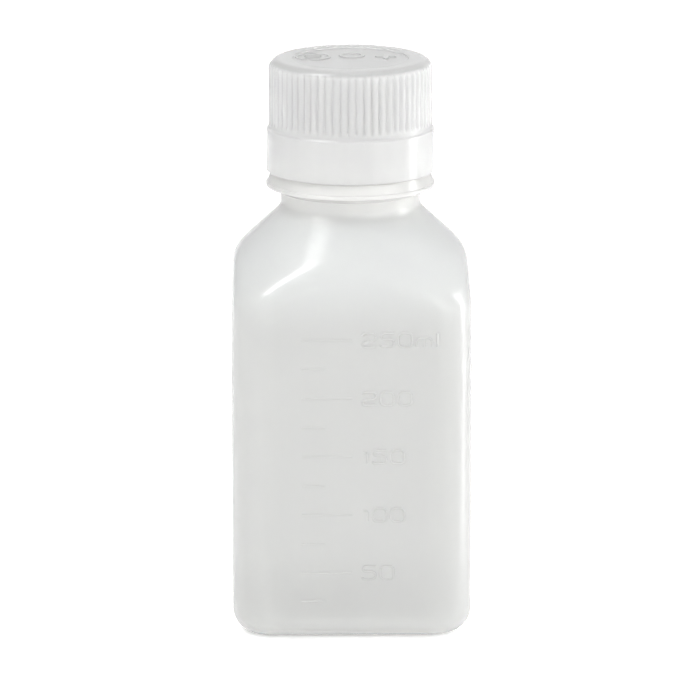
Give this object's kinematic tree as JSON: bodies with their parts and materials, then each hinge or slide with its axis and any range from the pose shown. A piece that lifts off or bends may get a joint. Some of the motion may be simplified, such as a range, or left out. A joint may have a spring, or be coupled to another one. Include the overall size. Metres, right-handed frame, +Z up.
{
  "type": "laboratory bottle",
  "caption": "Square wide-neck laboratory bottle in milky plastic with embossed graduations, a conical shoulder, a neck bead and a ribbed screw cap that unscrews along the neck thread.",
  "frame": {"origin": "centre of the base, on the surface that the bottle stands on", "axes": "+Z up along the neck and thread axis; the graduated face looks towards -Y; +X to the right of that face"},
  "size_m": [0.061, 0.0613, 0.145],
  "materials": {
    "bottle_plastic": "natural milky translucent polyethylene, satin",
    "cap_plastic": "natural translucent polypropylene, semi-gloss",
    "liner_plastic": "natural soft polyethylene, matte"
  },
  "bodies": {
    "bottle": {"bottle": "bottle_plastic"},
    "liner": {"cap_liner": "liner_plastic"},
    "cap": {"screw_cap": "cap_plastic"}
  },
  "joints": [
    {"name": "cap_lift", "type": "slide", "parent": "bottle", "child": "liner", "axis": [0, 0, 1], "range_m": [0, 0.0127]},
    {"name": "cap_turn", "type": "hinge", "parent": "liner", "child": "cap", "pos_m": [0, 0, 0.13], "axis": [0, 0, 1], "range_deg": [0, 1080]}
  ],
  "couplings": [
    {"joint": "cap_lift", "follows": "cap_turn", "m_per_rad": 0.0006737}
  ]
}
